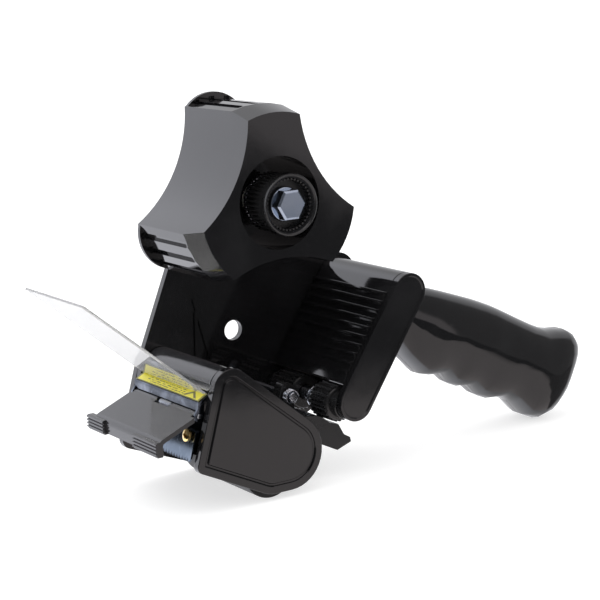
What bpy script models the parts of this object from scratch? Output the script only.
"""Pistol-grip dispenser for 48 mm carton sealing tape on a 3 inch core.

The gun stands on its application roller and on the butt of its handle. +X runs from the wiper flap
back to the handle, +Y from the open loading side across the tape to the side plate, and +Z is up.
The origin is on the ground, below the middle of the whole gun. Sizes are in millimetres.
"""

import math

import bmesh
import bpy
from mathutils import Matrix, Vector

MM = 0.001
GAP = 0.3  # left between pieces that touch
FIT = 0.3  # radial room around a pin or shaft
ARC_STEP = math.radians(9)

# Stations across the gun, from the loading side (-Y) to the side plate (+Y).
KNOB_FACE_Y = -34.0
HUB_NEAR_Y = -25.0
HUB_FAR_Y = 24.0
NEAR_CHEEK_Y = (-29.5, -26.0)
INSIDE_Y = (-25.7, 26.2)
SIDE_PLATE_Y = (26.5, 29.5)
FAR_CHEEK_Y = (29.8, 33.0)
OUTER_Y = 34.0
PIN_NEAR_Y = NEAR_CHEEK_Y[1] - 1.8

# Axes that run across the gun, as (x, z).
HUB_AXIS = (-44.0, 118.4)
ROLLER_AXIS = (-54.0, 12.0)
GUIDE_AXIS = (-16.5, 31.5)
LEVER_AXIS = (-38.5, 24.0)
LEVER_ROD_AXIS = (-30.5, 34.0)
GUARD_AXIS = (-85.8, 39.6)
FLAP_AXIS = (-82.1, 48.3)
HANG_HOLE = (-37.6, 58.2)

# Hub and brake.
LOBES = 3
LOBE_ANGLE = math.radians(91.5)
LOBE_HALF_ANGLE = math.radians(17.8)
LOBE_RADIUS = 38.5
LOBE_FRONT_RADIUS = 35.7
LIP_RADIUS = 41.5
WAIST_RADIUS = 22.0
HUB_WALL = 2.5
BOLT_RADIUS = 4.0
BUSH_RADIUS = 7.0
COUNTERBORE_RADIUS = 18.5
COUNTERBORE_FLOOR_Y = -8.5
KNOB_REAR_Y = -16.6
KNOB_RIDGES = 34

# Rollers.
ROLLER_RADIUS = 12.0
ROLLER_RUBBER = 2.8
AXLE_RADIUS = 3.0
GUIDE_RADIUS = 7.9
GUIDE_RIDGES = 18
GUIDE_BOSS_RADIUS = 5.6

# Corners are (x, z, rounding radius).
NEAR_CHEEK = [
    (-90.3, 18.7, 3), (-57.4, 2.8, 12), (-31.8, 2.8, 15.2), (-31.8, 25.5, 15), (-76.9, 63.05, 8),
]
FAR_CHEEK = [(-92.2, 16.6, 4), (-57.4, 2.8, 12), *NEAR_CHEEK[2:4], (-77.9, 63.05, 8)]
CHEEK_RIM = 3.2
CHEEK_GROOVE = 1.2
SIDE_PLATE = [
    (-88.5, 21, 4), (-80.6, 57, 8), (-61.6, 102, 20), (-60.5, 135, 15.5), (-27.5, 135, 15.5),
    (-27.5, 105, 12), (2, 84.5, 15), (30.4, 84.5, 9), (9, 32, 10), (0, 15, 8), (-31, 17, 4),
    (-35, 6.5, 10), (-57, 6.5, 12),
]
PLATE_RIBS = [((-56.3, 74.3), (-49.6, 47.9)), ((-55.6, 69.1), (-56.3, 49.9)), ((-10.5, 56), (-22, 39))]

# The bridge between the side plate and the end plate leans back; its section is a long rounded slot.
BRIDGE_LEAN = Vector((0.564, 0.826))
BRIDGE_ACROSS = Vector((0.826, -0.564))
BRIDGE_LOW = (-13.9, 33.1)
BRIDGE_LENGTH = 50.7
BRIDGE_RADIUS = 7.95
BRIDGE_RIBS = 10
BRIDGE_RIB_PITCH = 4.0
BRIDGE_FIRST_RIB = 9.3

# Cutter: the blade stands on its teeth, leaning forward.
BLADE_FOOT = Vector((-90.6, 21.8))
BLADE_UP = Vector((0.279, 0.960))
BLADE_BACK = Vector((0.960, -0.279))
BLADE_HEIGHT = 12.2
BLADE_TEETH = 24
BLADE_SCREW_HEIGHT = 9.3
BLADE_SCREW_Y = 21.3

GUARD_Y = (-27.3, 26.3)
GUARD_TABS = ((-27.3, -8.0), (17.0, 31.0))
GUARD_NECK_Y = (-24.4, 24.9)
EAR_Y = ((-25.7, -24.7), (25.2, 26.2))

# The grip, as (top x, top z, bottom x, bottom z, half width) from the bridge to the butt.
GRIP = [
    (22.8, 71.6, 10.8, 54.6, 12.0), (32, 71.3, 23, 48, 12.8), (39.5, 70.3, 29.2, 40.5, 13.3),
    (45.5, 68.5, 33.3, 36.3, 13.8), (51, 66.7, 37.5, 31.7, 14.3), (56.3, 64.8, 43, 30.2, 14.5),
    (62, 62.8, 49, 30.2, 14.5), (67.3, 60.9, 53.2, 25.2, 14.6), (72.2, 58.9, 57.8, 22.6, 14.6),
    (77.3, 56.7, 63.7, 22.2, 14.6), (83, 53.9, 68.6, 17.2, 14.7), (88.6, 50.9, 74.2, 14.2, 14.8),
    (94.7, 47.6, 81.5, 13.8, 15.0), (101.3, 44.2, 88.7, 9.9, 15.2), (108, 41.2, 95, 3.2, 15.4),
    (115, 39.6, 101.2, 0.2, 15.4), (120.6, 39.2, 107, 1.2, 14.4), (124.6, 37.2, 112, 4.6, 12.4),
    (127.7, 33.5, 116.6, 10.0, 9.4), (129.6, 28.5, 121.5, 17.0, 5.2),
]
GRIP_AROUND = 24
GRIP_SQUARENESS = 2.5
GRIP_WALL = 2.6
GRIP_SCREWS = [(42.0, 53.0), (77.0, 39.0), (109.0, 23.0)]

COLOURS = {
    "gloss_black": ((0.012, 0.012, 0.013), 0.22, 0.0),
    "satin_black": ((0.02, 0.02, 0.021), 0.42, 0.0),
    "grey_cover": ((0.03, 0.031, 0.034), 0.25, 0.0),
    "rubber": ((0.015, 0.015, 0.015), 0.75, 0.0),
    "zinc": ((0.62, 0.65, 0.70), 0.28, 1.0),
    "blade_steel": ((0.45, 0.5, 0.58), 0.3, 1.0),
    "brass": ((0.78, 0.6, 0.28), 0.3, 1.0),
    "label_yellow": ((0.85, 0.78, 0.05), 0.5, 0.0),
    "clear_film": ((0.86, 0.87, 0.86), 0.3, 0.0),
    "nylon": ((0.75, 0.74, 0.7), 0.45, 0.0),
}


def clear_scene():
    for item in list(bpy.data.objects):
        bpy.data.objects.remove(item)


def collection_named(name):
    found = bpy.data.collections.new(name)
    bpy.context.scene.collection.children.link(found)
    return found


def material_named(key):
    found = bpy.data.materials.get(key)
    if found is None:
        colour, roughness, metallic = COLOURS[key]
        found = bpy.data.materials.new(key)
        found.use_nodes = True
        shader = found.node_tree.nodes["Principled BSDF"]
        shader.inputs["Base Color"].default_value = (*colour, 1)
        shader.inputs["Roughness"].default_value = roughness
        shader.inputs["Metallic"].default_value = metallic
    return found


# ---- outlines in the side view, as lists of (x, z) ----


def arc_points(centre, radius, start, end):
    steps = max(2, math.ceil(abs(end - start) / ARC_STEP))
    angles = [start + (end - start) * i / steps for i in range(steps + 1)]
    return [(centre[0] + radius * math.cos(a), centre[1] + radius * math.sin(a)) for a in angles]


def circle(centre, radius, sides=24):
    angles = [2 * math.pi * i / sides for i in range(sides)]
    return [(centre[0] + radius * math.cos(a), centre[1] + radius * math.sin(a)) for a in angles]


def rounded_corner(before, corner, after, radius):
    """The arc that rounds one corner, or the corner itself when its radius is 0."""
    point = Vector(corner)
    back = (Vector(before) - point).normalized()
    ahead = (Vector(after) - point).normalized()
    half = back.angle(ahead) / 2
    if radius <= 0 or abs(half - math.pi / 2) < 1e-3:
        return [tuple(point)]
    reach = radius / math.tan(half)
    first = point + back * reach
    last = point + ahead * reach
    centre = point + (back + ahead).normalized() * radius / math.sin(half)
    start = math.atan2(*(first - centre).yx)
    turn = math.remainder(math.atan2(*(last - centre).yx) - start, 2 * math.pi)
    return arc_points(centre, radius, start, start + turn)


def rounded(corners):
    """A closed outline through corners given as (x, z, radius)."""
    count = len(corners)
    points = []
    for i, (x, z, radius) in enumerate(corners):
        points += rounded_corner(corners[i - 1][:2], (x, z), corners[(i + 1) % count][:2], radius)
    return points


def rounded_path(corners):
    """An open path through corners given as (x, z, radius); its ends stay sharp."""
    points = [corners[0][:2]]
    for before, (x, z, radius), after in zip(corners, corners[1:], corners[2:]):
        points += rounded_corner(before[:2], (x, z), after[:2], radius)
    return points + [corners[-1][:2]]


def inset(corners, distance):
    """The same corners moved inwards, each with its radius shortened to match."""
    points = [Vector(c[:2]) for c in corners]
    area = sum(a.x * b.y - b.x * a.y for a, b in zip(points, points[1:] + points[:1]))
    side = 1 if area > 0 else -1
    moved = []
    for i, point in enumerate(points):
        back = (points[i - 1] - point).normalized()
        ahead = (points[(i + 1) % len(points)] - point).normalized()
        half = back.angle(ahead) / 2
        inwards = (back + ahead).normalized()
        if ahead.cross(back) * side < 0:
            inwards = -inwards
        moved.append((*(point + inwards * distance / math.sin(half)), max(corners[i][2] - distance, 0.4)))
    return moved


def sheet_outline(path, thickness):
    """The closed outline of a bent sheet whose middle follows the path."""
    points = [Vector(p) for p in path]
    left, right = [], []
    for i, point in enumerate(points):
        runs = [(b - a).normalized() for a, b in zip(points[max(i - 1, 0):i + 1], points[max(i, 1):i + 2])]
        along = sum(runs, Vector((0, 0))).normalized()
        normal = Vector((-along.y, along.x)) * thickness / 2
        normal /= max(0.3, along.dot(runs[0]))
        left.append(tuple(point + normal))
        right.append(tuple(point - normal))
    return left + right[::-1]


def ridged_circle(centre, radius, depth, ridges):
    """A circle cut by even flutes, for knurled knobs and rollers."""
    points = []
    for i in range(ridges):
        for share, drop in ((0.0, depth), (0.22, 0.0), (0.62, 0.0), (0.84, depth)):
            angle = 2 * math.pi * (i + share) / ridges
            reach = radius - drop
            points.append((centre[0] + reach * math.cos(angle), centre[1] + reach * math.sin(angle)))
    return points


def bridge_point(along, across):
    """A point of the bridge's section, from the middle of its lower round end."""
    return tuple(Vector(BRIDGE_LOW) + BRIDGE_LEAN * along + BRIDGE_ACROSS * across)


# ---- solids ----


def baked(item):
    """The object as a plain mesh with its place in the mesh, welded and facing out."""
    bpy.context.view_layer.update()
    graph = bpy.context.evaluated_depsgraph_get()
    mesh = bpy.data.meshes.new_from_object(item.evaluated_get(graph))
    mesh.transform(item.matrix_world)
    bpy.data.objects.remove(item)
    work = bmesh.new()
    work.from_mesh(mesh)
    bmesh.ops.remove_doubles(work, verts=work.verts, dist=1e-6)
    bmesh.ops.recalc_face_normals(work, faces=work.faces)
    work.to_mesh(mesh)
    work.free()
    solid = bpy.data.objects.new("solid", mesh)
    bpy.context.scene.collection.objects.link(solid)
    return solid


def flat_solid(loops, thickness, matrix):
    """A flat outline, its first loop the outside and the others holes, extruded about its own plane."""
    curve = bpy.data.curves.new("outline", "CURVE")
    curve.dimensions = "2D"
    curve.fill_mode = "BOTH"
    curve.extrude = thickness / 2 * MM
    for loop in loops:
        spline = curve.splines.new("POLY")
        spline.points.add(len(loop) - 1)
        for point, (u, v) in zip(spline.points, loop):
            point.co = (u * MM, v * MM, 0, 1)
        spline.use_cyclic_u = True
    item = bpy.data.objects.new("outline", curve)
    bpy.context.scene.collection.objects.link(item)
    item.matrix_world = matrix
    return baked(item)


def side_solid(outline, span, *holes):
    """A side-view outline extruded across the gun, over the span (near y, far y)."""
    middle = Matrix.Translation((0, (span[0] + span[1]) / 2 * MM, 0))
    return flat_solid([outline, *holes], span[1] - span[0], middle @ Matrix.Rotation(math.pi / 2, 4, "X"))


def primitive(matrix, make, **sizes):
    mesh = bpy.data.meshes.new("primitive")
    work = bmesh.new()
    make(work, **sizes)
    work.to_mesh(mesh)
    work.free()
    mesh.transform(matrix)
    item = bpy.data.objects.new("solid", mesh)
    bpy.context.scene.collection.objects.link(item)
    return item


def rod(axis, radius, span, sides=24, far_radius=None):
    """A round bar or cone across the gun about the axis (x, z)."""
    middle = Vector((axis[0], (span[0] + span[1]) / 2, axis[1])) * MM
    matrix = Matrix.Translation(middle) @ Matrix.Rotation(math.pi / 2, 4, "X")
    near, far = radius * MM, (radius if far_radius is None else far_radius) * MM
    return primitive(matrix, bmesh.ops.create_cone, cap_ends=True, segments=sides, radius1=far,
                     radius2=near, depth=(span[1] - span[0]) * MM)


def block(low, high):
    size = (Vector(high) - Vector(low)) * MM
    matrix = Matrix.Translation((Vector(high) + Vector(low)) * MM / 2) @ Matrix.Diagonal((*size, 1))
    return primitive(matrix, bmesh.ops.create_cube, size=1)


def combine(body, tool, operation):
    """The body after one Boolean with the tool, which is used up."""
    boolean = body.modifiers.new("combine", "BOOLEAN")
    boolean.operation = operation
    boolean.solver = "EXACT"
    boolean.object = tool
    result = baked(body)
    bpy.data.objects.remove(tool)
    return result


def cut(body, *tools):
    for tool in tools:
        body = combine(body, tool, "DIFFERENCE")
    return body


def fuse(body, *tools):
    for tool in tools:
        body = combine(body, tool, "UNION")
    return body


def coil(axis, radius, wire, span, turns):
    """A helical spring about the axis, its wire's ends square."""
    curve = bpy.data.curves.new("coil", "CURVE")
    curve.dimensions = "3D"
    curve.bevel_depth = wire * MM
    curve.bevel_resolution = 1
    curve.use_fill_caps = True
    count = int(turns * 12) + 1
    spline = curve.splines.new("POLY")
    spline.points.add(count - 1)
    for i, point in enumerate(spline.points):
        share = i / (count - 1)
        angle = 2 * math.pi * turns * share
        y = span[0] + wire + (span[1] - span[0] - 2 * wire) * share
        x, z = axis[0] + radius * math.cos(angle), axis[1] + radius * math.sin(angle)
        point.co = (x * MM, y * MM, z * MM, 1)
    item = bpy.data.objects.new("coil", curve)
    bpy.context.scene.collection.objects.link(item)
    return baked(item)


def placed(solid, name, colour, collection, pivot=None):
    """Names a finished solid and gives it its material; a moving piece hangs on its axis's empty."""
    for old in list(solid.users_collection):
        old.objects.unlink(solid)
    collection.objects.link(solid)
    solid.name = name
    solid.data.name = name
    solid.data.materials.clear()
    solid.data.materials.append(material_named(colour))
    solid.data.shade_smooth()
    solid.data.set_sharp_from_angle(angle=math.radians(35))
    if pivot is not None:
        solid.parent = pivot
        solid.matrix_parent_inverse = pivot.matrix_world.inverted()


def axis_empty(name, axis, collection):
    empty = bpy.data.objects.new(name, None)
    empty.empty_display_size = 0.01
    empty.location = (axis[0] * MM, 0, axis[1] * MM)
    collection.objects.link(empty)
    bpy.context.view_layer.update()
    return empty


# ---- housing ----


def cheek(corners, span, groove):
    """A side cover: a plate with a groove that sets its raised rim off from the panel inside."""
    rim = rounded(inset(corners, CHEEK_RIM))
    panel = rounded(inset(corners, CHEEK_RIM + CHEEK_GROOVE))
    return cut(side_solid(rounded(corners), span), side_solid(rim, groove, panel))


def make_housing(parts):
    near = cheek(NEAR_CHEEK, NEAR_CHEEK_Y, (NEAR_CHEEK_Y[0] - 1, NEAR_CHEEK_Y[0] + 0.8))
    for axis, radius in ((ROLLER_AXIS, AXLE_RADIUS), (LEVER_AXIS, 2.2)):
        near = cut(near, rod(axis, radius + FIT, (PIN_NEAR_Y - GAP, NEAR_CHEEK_Y[1] + 1)))
    placed(near, "near_cheek", "gloss_black", parts)

    far = cheek(FAR_CHEEK, FAR_CHEEK_Y, (FAR_CHEEK_Y[1] - 0.8, FAR_CHEEK_Y[1] + 1))
    for x, z in CHEEK_SCREWS:
        far = cut(far, rod((x, z), 1.4 + FIT, (FAR_CHEEK_Y[0] - 1, FAR_CHEEK_Y[1] + 1), 12))
    placed(far, "far_cheek", "gloss_black", parts)

    path = rounded_path([(-79.4, 50.9, 0), (-75.96, 59.9, 6.2), (-48.7, 37.25, 0)])
    placed(side_solid(sheet_outline(path, 2.0), INSIDE_Y), "top_cover", "grey_cover", parts)

    for i, (x, z) in enumerate(CHEEK_SCREWS):
        head = rod((x, z), 2.9, (FAR_CHEEK_Y[1] + GAP, OUTER_Y), 16)
        shank = rod((x, z), 1.4, (SIDE_PLATE_Y[0] + 0.6, FAR_CHEEK_Y[1] + GAP + 0.2), 12)
        placed(fuse(head, shank), f"cheek_screw_{i + 1}", "zinc", parts)


CHEEK_SCREWS = [(-77.0, 49.0), (-79.5, 26.0), (-42.5, 17.0)]


def make_side_plate(parts):
    holes = [circle(HANG_HOLE, 4.3), circle(HUB_AXIS, BOLT_RADIUS + FIT), circle(GUIDE_AXIS, AXLE_RADIUS + FIT),
             circle(ROLLER_AXIS, AXLE_RADIUS + FIT), circle(LEVER_AXIS, 2.2 + FIT)]
    holes += [circle(screw, 1.4 + FIT, 12) for screw in CHEEK_SCREWS]
    holes += [circle(bridge_point(*screw), 1.6 + FIT, 12) for screw in BRIDGE_SCREWS]
    plate = side_solid(rounded(SIDE_PLATE), SIDE_PLATE_Y, *holes)
    for start, end in PLATE_RIBS:
        rib = side_solid(sheet_outline([start, end], 1.4), (SIDE_PLATE_Y[0] - 0.8, SIDE_PLATE_Y[0] + 0.5))
        plate = fuse(plate, rib)
    placed(plate, "side_plate", "gloss_black", parts)


BRIDGE_SCREWS = [(16.0, 0.0), (44.0, 0.0)]


def make_bridge(parts):
    top = bridge_point(BRIDGE_LENGTH, 0)
    lean = math.atan2(BRIDGE_LEAN.y, BRIDGE_LEAN.x)
    front = [bridge_point(*p) for p in bridge_front()]
    head = arc_points(top, BRIDGE_RADIUS, lean + math.pi / 2, lean - math.pi / 2)
    room = GUIDE_RADIUS + 1.4
    guide = Vector(GUIDE_AXIS)
    rear_foot = Vector(bridge_point(-1.0, BRIDGE_RADIUS)) - guide
    front_foot = Vector(front[0]) - guide
    start = math.atan2(rear_foot.y, rear_foot.x)
    end = math.atan2(front_foot.y, front_foot.x)
    foot = arc_points(GUIDE_AXIS, room, start, end)
    solid = side_solid(front + head + foot, INSIDE_Y)
    core = rounded([(*bridge_point(s, c), 2) for s, c in ((12, -5), (49, -5), (49, 5), (12, 5))])
    solid = cut(solid, side_solid(core, (INSIDE_Y[0] - 1, 18)))
    for screw in BRIDGE_SCREWS:
        solid = cut(solid, rod(bridge_point(*screw), 1.6 + FIT, (19, INSIDE_Y[1] + 1), 12))
    placed(solid, "bridge_block", "gloss_black", parts)

    for i, screw in enumerate(BRIDGE_SCREWS):
        centre = bridge_point(*screw)
        head = rod(centre, 3.4, (SIDE_PLATE_Y[1] + GAP, 31.8), 16)
        shank = rod(centre, 1.6, (20, SIDE_PLATE_Y[1] + GAP + 0.2), 12)
        placed(fuse(head, shank), f"bridge_screw_{i + 1}", "zinc", parts)

    rim = side_solid(bridge_slot(BRIDGE_RADIUS), NEAR_CHEEK_Y)
    rim = cut(rim, side_solid(bridge_slot(BRIDGE_RADIUS - 1.4), (NEAR_CHEEK_Y[0] - 1, NEAR_CHEEK_Y[0] + 0.5)))
    rim = cut(rim, rod(GUIDE_AXIS, AXLE_RADIUS + FIT, (PIN_NEAR_Y - GAP, NEAR_CHEEK_Y[1] + 1)))
    placed(rim, "end_plate", "gloss_black", parts)


def bridge_front():
    """The bridge's front edge with its row of ribs, from the foot up, as (along, across)."""
    points = [(4.6, -BRIDGE_RADIUS)]
    for i in range(BRIDGE_RIBS):
        middle = BRIDGE_FIRST_RIB + i * BRIDGE_RIB_PITCH
        for offset, rise in ((-0.8, 0), (-0.45, 1.3), (0.45, 1.3), (0.8, 0)):
            points.append((middle + offset, -BRIDGE_RADIUS - rise))
    return points


def bridge_slot(radius):
    lean = math.atan2(BRIDGE_LEAN.y, BRIDGE_LEAN.x)
    top = arc_points(bridge_point(BRIDGE_LENGTH, 0), radius, lean + math.pi / 2, lean - math.pi / 2)
    foot = arc_points(BRIDGE_LOW, radius, lean - math.pi / 2, lean - 3 * math.pi / 2)
    return top + foot


# ---- handle ----


def grip_loft(shrink):
    """The grip as a loft through rounded sections, its ends closed."""
    mesh = bpy.data.meshes.new("grip")
    work = bmesh.new()
    rings = []
    for top_x, top_z, low_x, low_z, half_width in GRIP:
        top, low = Vector((top_x, 0, top_z)), Vector((low_x, 0, low_z))
        middle, reach = (top + low) / 2, (top - low) / 2
        reach -= reach.normalized() * shrink
        ring = []
        for i in range(GRIP_AROUND):
            angle = 2 * math.pi * (i + 0.5) / GRIP_AROUND
            c, s = math.cos(angle), math.sin(angle)
            power = 2 / GRIP_SQUARENESS
            side = math.copysign(abs(s) ** power, s) * (half_width - shrink)
            point = middle + reach * math.copysign(abs(c) ** power, c) + Vector((0, side, 0))
            ring.append(work.verts.new(point * MM))
        rings.append(ring)
    for ring, following in zip(rings, rings[1:]):
        for i in range(GRIP_AROUND):
            after = (i + 1) % GRIP_AROUND
            work.faces.new((ring[i], ring[after], following[after], following[i]))
    work.faces.new(rings[0])
    work.faces.new(rings[-1])
    bmesh.ops.recalc_face_normals(work, faces=work.faces)
    work.to_mesh(mesh)
    work.free()
    item = bpy.data.objects.new("solid", mesh)
    bpy.context.scene.collection.objects.link(item)
    return item


def handle_half(side):
    """One shell of the grip, hollow towards the joint between the halves, with bosses for its screws."""
    low, high = sorted((0.15 * side, 40 * side))
    room = ((-10, low, -10), (150, high, 100))
    shell = combine(grip_loft(0), block(*room), "INTERSECT")
    hollow = combine(grip_loft(GRIP_WALL), block((20, -40, -10), (121, 40, 100)), "INTERSECT")
    shell = cut(shell, hollow)
    for screw in GRIP_SCREWS:
        boss = combine(rod(screw, 4.2, sorted((0.15 * side, 20 * side)), 16), grip_loft(0.6), "INTERSECT")
        shell = fuse(shell, boss)
    return shell


def make_handle(parts):
    near = handle_half(-1)
    far = handle_half(1)
    for screw in GRIP_SCREWS:
        near = cut(near, rod(screw, 1.5 + FIT, (-6.0, 1), 12))
        far = cut(far, rod(screw, 1.5 + FIT, (-1, 20), 12), rod(screw, 3.6, (9.0, 20), 16))
    placed(near, "handle_near", "gloss_black", parts)
    placed(far, "handle_far", "gloss_black", parts)
    for i, screw in enumerate(GRIP_SCREWS):
        head = rod(screw, 3.1, (9.0 + GAP, 11.2), 16)
        solid = fuse(head, rod(screw, 1.5, (-5.5, 9.5), 12))
        placed(solid, f"handle_screw_{i + 1}", "zinc", parts)


# ---- cutter, guide plate and wiper ----


def blade_matrix(offset):
    """The blade's own plane: u across the gun, v up the blade, moved back by the offset."""
    origin = (BLADE_FOOT + BLADE_BACK * offset) * MM
    matrix = Matrix(((0, BLADE_UP.x, BLADE_BACK.x, origin.x), (1, 0, 0, 0),
                     (0, BLADE_UP.y, BLADE_BACK.y, origin.y), (0, 0, 0, 1)))
    return matrix


def blade_rod(y, height, radius, start, end, sides=16):
    """A round bar that runs through the blade, from start to end behind its middle."""
    turn = blade_matrix((start + end) / 2) @ Matrix.Translation((y * MM, height * MM, 0))
    return primitive(turn, bmesh.ops.create_cone, cap_ends=True, segments=sides, radius1=radius * MM,
                     radius2=radius * MM, depth=(end - start) * MM)


def make_cutter(parts):
    half = 25.4
    pitch = 2 * half / BLADE_TEETH
    outline = [(-half, 1.6)]
    for i in range(BLADE_TEETH):
        outline += [(-half + (i + 0.5) * pitch, 0.0), (-half + (i + 1) * pitch, 1.6)]
    outline += [(half, BLADE_HEIGHT), (-half, BLADE_HEIGHT)]
    holes = [circle((side * BLADE_SCREW_Y, BLADE_SCREW_HEIGHT), 1.3 + FIT, 12) for side in (-1, 1)]
    placed(flat_solid([outline, *holes], 0.8, blade_matrix(0)), "cutting_blade", "blade_steel", parts)

    back = BLADE_BACK * (0.4 + GAP + 0.6)
    foot, bend = BLADE_FOOT + BLADE_UP * 3.4 + back, BLADE_FOOT + BLADE_UP * 12.4 + back
    path = rounded_path([(*foot, 0), (*bend, 1.2), (-74, bend.y, 0)])
    bracket = side_solid(sheet_outline(path, 1.2), INSIDE_Y)
    for side in (-1, 1):
        bracket = cut(bracket, blade_rod(side * BLADE_SCREW_Y, BLADE_SCREW_HEIGHT, 1.3 + FIT, -1, 3, 12))
    placed(bracket, "blade_bracket", "zinc", parts)

    for side, name in ((-1, "near"), (1, "far")):
        y = side * BLADE_SCREW_Y
        head = blade_rod(y, BLADE_SCREW_HEIGHT, 2.6, -2.1, -0.4 - GAP)
        shank = blade_rod(y, BLADE_SCREW_HEIGHT, 1.3, -1.0, 4.2, 12)
        placed(fuse(head, shank), f"blade_screw_{name}", "brass", parts)


def make_guide_plate(parts):
    corners = [(-85.6, 41.8, 0), (-85.6, 44.6, 0.8), (-80.6, 47.3, 1.5), (-71.5, 45.8, 3), (-56, 32.9, 0)]
    plate = side_solid(sheet_outline(rounded_path(corners), 1.0), INSIDE_Y)
    x, z = GUARD_AXIS
    ear = arc_points(GUARD_AXIS, 2.2, math.radians(150), math.radians(370))
    ear += [(x + 2.6, z + 5.6), (x + 0.5, z + 4.4), (x - 0.3, z + 3.2)]
    for span in EAR_Y:
        plate = fuse(plate, side_solid(ear, span, circle(GUARD_AXIS, 0.9 + FIT, 16)))
    placed(plate, "guide_plate", "zinc", parts)
    slope = (Vector((-80.6, 47.3)) - Vector((-85.6, 44.6))).normalized()
    lift = Vector((-slope.y, slope.x)) * (0.5 + 0.2 + 0.1)
    start = Vector((-85.6, 44.6)) + slope * 0.4 + lift
    path = [tuple(start), tuple(start + slope * 4.8)]
    placed(side_solid(sheet_outline(path, 0.2), (-25.2, 25.7)), "warning_label", "label_yellow", parts)


def make_wiper(parts, pivot):
    path = [(-81.3, 49.1), (-79.2, 49.7), (-72, 51.2)]
    placed(side_solid(sheet_outline(path, 0.6), (-25, 25)), "wiper_root", "clear_film", parts)
    path = [(-77.4, 48.95), (-72, 50.05)]
    placed(side_solid(sheet_outline(path, 1.0), (-25, 25)), "wiper_clamp", "zinc", parts)
    path = [(-82.4, 48.2), (-132.0, 89.8)]
    placed(side_solid(sheet_outline(path, 1.0), (-25, 25)), "wiper_flap", "clear_film", parts, pivot)


def make_guard(parts, pivot):
    path = rounded_path([(-86.6, 40.0, 0), (-104.3, 32.6, 2.2), (-104.0, 27.6, 0)])
    guard = side_solid(sheet_outline(path, 1.8), GUARD_Y)
    guard = cut(guard, block((-88.9, GUARD_Y[0] - 1, 30), (-80, GUARD_NECK_Y[0], 45)),
                block((-88.9, GUARD_NECK_Y[1], 30), (-80, GUARD_Y[1] + 1, 45)),
                block((-88.6, -5.5, 30), (-80, 5.5, 45)))
    tab = [(-103.4, 33.0), (-105.6, 33.0)]
    for ridge in range(4):
        top = 32.6 - ridge * 1.35
        tab += [(-106.5, top), (-106.5, top - 0.7), (-105.8, top - 0.95), (-105.8, top - 1.35)]
    tab += [(-105.8, 27.0), (-103.4, 27.0)]
    for span in GUARD_TABS:
        guard = fuse(guard, side_solid(tab, span))
    for span in ((GUARD_NECK_Y[0], -6), (6, GUARD_NECK_Y[1])):
        guard = fuse(guard, rod(GUARD_AXIS, 1.9, span, 16))
    guard = cut(guard, rod(GUARD_AXIS, 0.9 + FIT, (-30, 30), 16))
    placed(guard, "blade_guard", "satin_black", parts, pivot)
    placed(rod(GUARD_AXIS, 0.9, (EAR_Y[0][0] - 0.1, EAR_Y[1][1] + 0.1), 16), "guard_pin", "zinc", parts)
    placed(coil(GUARD_AXIS, 1.5, 0.28, (-4.6, 4.6), 6), "guard_spring", "zinc", parts)


# ---- rollers and lever ----


def make_application_roller(parts, pivot):
    span = (-24.6, 24.6)
    core_radius = ROLLER_RADIUS - ROLLER_RUBBER - GAP
    core = side_solid(circle(ROLLER_AXIS, core_radius, 32), span, circle(ROLLER_AXIS, AXLE_RADIUS + FIT))
    placed(core, "roller_core", "satin_black", parts, pivot)
    bore = circle(ROLLER_AXIS, ROLLER_RADIUS - ROLLER_RUBBER, 48)
    placed(side_solid(circle(ROLLER_AXIS, ROLLER_RADIUS, 48), span, bore), "roller_sleeve", "rubber", parts, pivot)
    placed(rod(ROLLER_AXIS, AXLE_RADIUS, (PIN_NEAR_Y, SIDE_PLATE_Y[1] - 0.6)), "roller_axle", "zinc", parts)


def make_guide_roller(parts, pivot):
    placed(rod(GUIDE_AXIS, AXLE_RADIUS, (PIN_NEAR_Y, SIDE_PLATE_Y[1] - 0.6)), "guide_shaft", "zinc", parts, pivot)
    outline = ridged_circle(GUIDE_AXIS, GUIDE_RADIUS, 0.7, GUIDE_RIDGES)
    bore = circle(GUIDE_AXIS, AXLE_RADIUS + FIT)
    for name, ridged, plain in (("near", (-21.2, -8.6), (-25.4, -20.8)), ("far", (5.0, 20.4), (20.0, 25.4))):
        boss = side_solid(circle(GUIDE_AXIS, GUIDE_BOSS_RADIUS), plain)
        sleeve = fuse(side_solid(outline, ridged), boss)
        sleeve = cut(sleeve, rod(GUIDE_AXIS, AXLE_RADIUS + FIT, (-30, 30)))
        placed(sleeve, f"guide_sleeve_{name}", "satin_black", parts, pivot)
    placed(coil(GUIDE_AXIS, 4.3, 0.65, (-8.2, -2.2), 3), "guide_spring", "zinc", parts, pivot)


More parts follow.
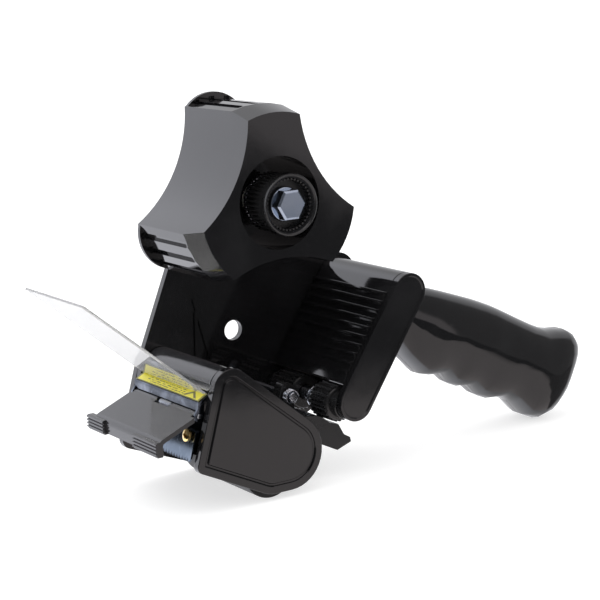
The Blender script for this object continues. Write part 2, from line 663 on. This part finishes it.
def make_lever(parts, pivot):
    tail = [
        (-43, 20, 3), (-43, 28.5, 3), (-36, 29, 2), (-27, 27.8, 1), (-24, 26.6, 0.6), (-20.5, 23.6, 2),
        (-16.5, 22.6, 1.5), (-13.8, 17.6, 0.6), (-10.8, 15.8, 0.4), (-10.4, 13.8, 0.4), (-17.4, 11.4, 0.5), (-23, 14.2, 2), (-33.5, 19.5, 3),
    ]
    arm = [(-37, 24, 1), (-36, 30, 2), (-32.9, 39.5, 2.6), (-27.9, 39.5, 2.6), (-27.2, 24.5, 1)]
    lever = fuse(side_solid(rounded(tail), (-19, -2.6)), side_solid(rounded(arm), (-3, 2)))
    for axis, radius in ((LEVER_AXIS, 2.2 + FIT), (LEVER_ROD_AXIS, 2.0 + FIT)):
        lever = cut(lever, rod(axis, radius, (-30, 30), 20))
    placed(lever, "tension_lever", "satin_black", parts, pivot)
    placed(rod(LEVER_ROD_AXIS, 2.0, (-7.6, 22), 16), "lever_rod", "zinc", parts, pivot)
    placed(rod(LEVER_AXIS, 2.2, (PIN_NEAR_Y, SIDE_PLATE_Y[1] - 0.6), 16), "lever_pin", "zinc", parts)
    placed(coil(LEVER_ROD_AXIS, 2.8, 0.4, (-7.2, -3.4), 3), "lever_spring", "zinc", parts, pivot)


# ---- hub and brake ----


def lobe_outline(radius, shrink=0.0):
    """Three rounded lobes joined by hollow flanks, about the hub's axis."""
    points = []
    for lobe in range(LOBES):
        middle = LOBE_ANGLE + lobe * 2 * math.pi / LOBES
        half = LOBE_HALF_ANGLE - shrink / radius
        points += arc_points(HUB_AXIS, radius - shrink, middle - half, middle + half)
        points += flank_points(Vector(points[-1]), middle + math.pi / LOBES, shrink)
    return points


def flank_points(start, angle, shrink):
    """The arc that leads from a lobe's corner over the waist to the next lobe's corner."""
    outwards = Vector((math.cos(angle), math.sin(angle)))
    offset = start - Vector(HUB_AXIS)
    half_chord = abs(offset.cross(outwards))
    sag = offset.dot(outwards) - (WAIST_RADIUS - shrink)
    radius = (half_chord ** 2 + sag ** 2) / (2 * sag)
    centre = Vector(HUB_AXIS) + outwards * (WAIST_RADIUS - shrink + radius)
    first = math.atan2(*(start - centre).yx)
    middle = angle + math.pi
    turn = math.remainder(middle - first, 2 * math.pi)
    steps = 16
    angles = [first + 2 * turn * i / steps for i in range(1, steps)]
    return [tuple(centre + radius * Vector((math.cos(a), math.sin(a)))) for a in angles]


def hub_slot(angle):
    """The cutter of one lengthwise slot in a lobe's outer face."""
    width, near_y, far_y = 2.8, HUB_NEAR_Y + 14, HUB_FAR_Y - 2.5
    ends = [(0, near_y, math.pi, 2 * math.pi), (0, far_y, 0, math.pi)]
    outline = []
    for u, v, start, end in ends:
        outline += arc_points((u, v), width / 2, start, end)
    radial = Vector((math.cos(angle), 0, math.sin(angle)))
    tangent = Vector((-math.sin(angle), 0, math.cos(angle)))
    place = Vector((HUB_AXIS[0], 0, HUB_AXIS[1])) * MM + radial * LOBE_RADIUS * MM
    matrix = Matrix((
        (tangent.x, 0, radial.x, place.x), (0, 1, 0, 0), (tangent.z, 0, radial.z, place.z), (0, 0, 0, 1),
    ))
    return flat_solid([outline], 2.4, matrix)


def make_hub(parts, pivot):
    hub = side_solid(lobe_outline(LOBE_RADIUS), (HUB_NEAR_Y, HUB_FAR_Y))
    slope = (LOBE_RADIUS - LOBE_FRONT_RADIUS) / 12
    cone = rod(HUB_AXIS, LOBE_FRONT_RADIUS - 2 * slope, (HUB_NEAR_Y - 2, HUB_NEAR_Y + 14), 72,
               LOBE_FRONT_RADIUS + 14 * slope)
    hub = cut(hub, cut(rod(HUB_AXIS, 50, (HUB_NEAR_Y - 1, HUB_NEAR_Y + 13), 72), cone))
    for lobe in range(LOBES):
        middle = LOBE_ANGLE + lobe * 2 * math.pi / LOBES
        half = LOBE_HALF_ANGLE - 0.01
        bow = LIP_RADIUS - LOBE_RADIUS * math.cos(half)
        lip_radius = ((LOBE_RADIUS * math.sin(half)) ** 2 + bow ** 2) / (2 * bow)
        outwards = Vector((math.cos(middle), math.sin(middle)))
        centre = Vector(HUB_AXIS) + outwards * (LIP_RADIUS - lip_radius)
        spread = math.asin(LOBE_RADIUS * math.sin(half) / lip_radius)
        lip = arc_points(centre, lip_radius, middle - spread, middle + spread)
        lip += arc_points(HUB_AXIS, LOBE_RADIUS - 1.3, middle + half * 0.96, middle - half * 0.96)
        hub = fuse(hub, side_solid(lip, (HUB_FAR_Y - 2.0, HUB_FAR_Y - 0.2)))
        for offset in (-10.5, 0, 10.5):
            hub = cut(hub, hub_slot(LOBE_ANGLE + math.radians(lobe * 120 + offset)))
    hollow = side_solid(lobe_outline(LOBE_FRONT_RADIUS - 1.2, HUB_WALL), (HUB_NEAR_Y + HUB_WALL, HUB_FAR_Y + 1))
    hollow = cut(hollow, rod(HUB_AXIS, COUNTERBORE_RADIUS + 2.2, (HUB_NEAR_Y, COUNTERBORE_FLOOR_Y + 2.5), 32),
                 rod(HUB_AXIS, BUSH_RADIUS + 3, (COUNTERBORE_FLOOR_Y, HUB_FAR_Y + 2), 32))
    hub = cut(hub, hollow, rod(HUB_AXIS, COUNTERBORE_RADIUS, (HUB_NEAR_Y - 1, COUNTERBORE_FLOOR_Y), 40),
              rod(HUB_AXIS, BUSH_RADIUS + GAP, (COUNTERBORE_FLOOR_Y - 1, HUB_FAR_Y + 1), 24))
    placed(hub, "core_hub", "gloss_black", parts, pivot)
    bush = side_solid(circle(HUB_AXIS, BUSH_RADIUS), (COUNTERBORE_FLOOR_Y + 0.2, HUB_FAR_Y),
                      circle(HUB_AXIS, BOLT_RADIUS + FIT))
    placed(bush, "hub_bush", "nylon", parts, pivot)
    washer = side_solid(circle(HUB_AXIS, 9.5), (HUB_FAR_Y + 0.5, SIDE_PLATE_Y[0] - GAP),
                        circle(HUB_AXIS, BOLT_RADIUS + FIT))
    placed(washer, "thrust_washer", "nylon", parts)
    nut = side_solid(circle(HUB_AXIS, 7.5, 6), (SIDE_PLATE_Y[1] + GAP, OUTER_Y),
                     circle(HUB_AXIS, BOLT_RADIUS + FIT))
    placed(nut, "spindle_nut", "zinc", parts)


def make_brake(parts, pivot):
    body = side_solid(ridged_circle(HUB_AXIS, 12.1, 0.8, KNOB_RIDGES), (KNOB_FACE_Y + 2.0, KNOB_REAR_Y))
    taper = rod(HUB_AXIS, 12.3, (KNOB_FACE_Y, KNOB_REAR_Y), 48, 10.3)
    body = combine(body, taper, "INTERSECT")
    body = fuse(body, rod(HUB_AXIS, 12.3, (KNOB_FACE_Y + 0.4, KNOB_FACE_Y + 2.2), 48))
    body = cut(body, rod(HUB_AXIS, 10.7, (KNOB_FACE_Y - 1, KNOB_FACE_Y + 6.0), 40),
               rod(HUB_AXIS, BOLT_RADIUS + FIT, (KNOB_FACE_Y, KNOB_REAR_Y + 1)))
    placed(body, "brake_knob", "satin_black", parts, pivot)

    head = side_solid(circle(HUB_AXIS, 6.6, 6), (KNOB_FACE_Y, KNOB_FACE_Y + 4.8))
    flange = rod(HUB_AXIS, 6.8, (KNOB_FACE_Y + 4.6, KNOB_FACE_Y + 5.6))
    shank = rod(HUB_AXIS, BOLT_RADIUS, (KNOB_FACE_Y + 5.0, OUTER_Y - 0.2))
    placed(fuse(head, flange, shank), "tension_bolt", "zinc", parts, pivot)

    washer_y = (KNOB_REAR_Y + GAP, KNOB_REAR_Y + GAP + 1.5)
    washer = side_solid(circle(HUB_AXIS, 10.6, 32), washer_y, circle(HUB_AXIS, BOLT_RADIUS + FIT))
    placed(washer, "brake_washer", "zinc", parts, pivot)
    placed(coil(HUB_AXIS, 6.8, 0.7, (washer_y[1] + GAP, COUNTERBORE_FLOOR_Y - 1.3), 2.5),
           "brake_spring", "zinc", parts, pivot)


def make_tape_gun():
    clear_scene()
    parts = collection_named("tape_gun_dispenser")
    make_side_plate(parts)
    make_housing(parts)
    make_bridge(parts)
    make_handle(parts)
    make_cutter(parts)
    make_guide_plate(parts)
    make_wiper(parts, axis_empty("flap_axis", FLAP_AXIS, parts))
    make_guard(parts, axis_empty("guard_axis", GUARD_AXIS, parts))
    make_application_roller(parts, axis_empty("roller_axis", ROLLER_AXIS, parts))
    make_guide_roller(parts, axis_empty("guide_axis", GUIDE_AXIS, parts))
    make_lever(parts, axis_empty("lever_axis", LEVER_AXIS, parts))
    hub_axis = axis_empty("hub_axis", HUB_AXIS, parts)
    make_hub(parts, hub_axis)
    make_brake(parts, hub_axis)


make_tape_gun()
